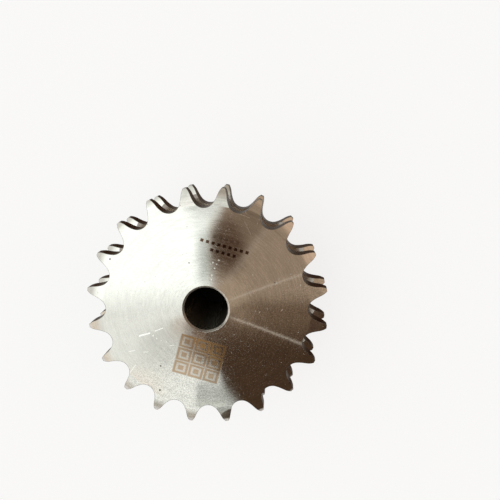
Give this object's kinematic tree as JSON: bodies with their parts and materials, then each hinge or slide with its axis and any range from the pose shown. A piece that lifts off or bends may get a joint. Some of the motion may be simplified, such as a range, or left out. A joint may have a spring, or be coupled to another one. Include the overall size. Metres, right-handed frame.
{
  "type": "chain sprocket",
  "caption": "Flat chain sprocket with side-by-side rows of teeth, a groove between them, a round hub on one side and a plain bore through the middle.",
  "frame": {"origin": "centre of the hub's end face, on the axis of the bore", "axes": "+Z along the bore from the hub's end to the flat toothed face; +X through the middle of one tooth of each row"},
  "size_m": [0.0878, 0.0878, 0.0413],
  "materials": {
    "steel": "machined stainless steel, faces turned with fine concentric marks"
  },
  "bodies": {
    "root": {"sprocket": "steel"}
  },
  "joints": []
}
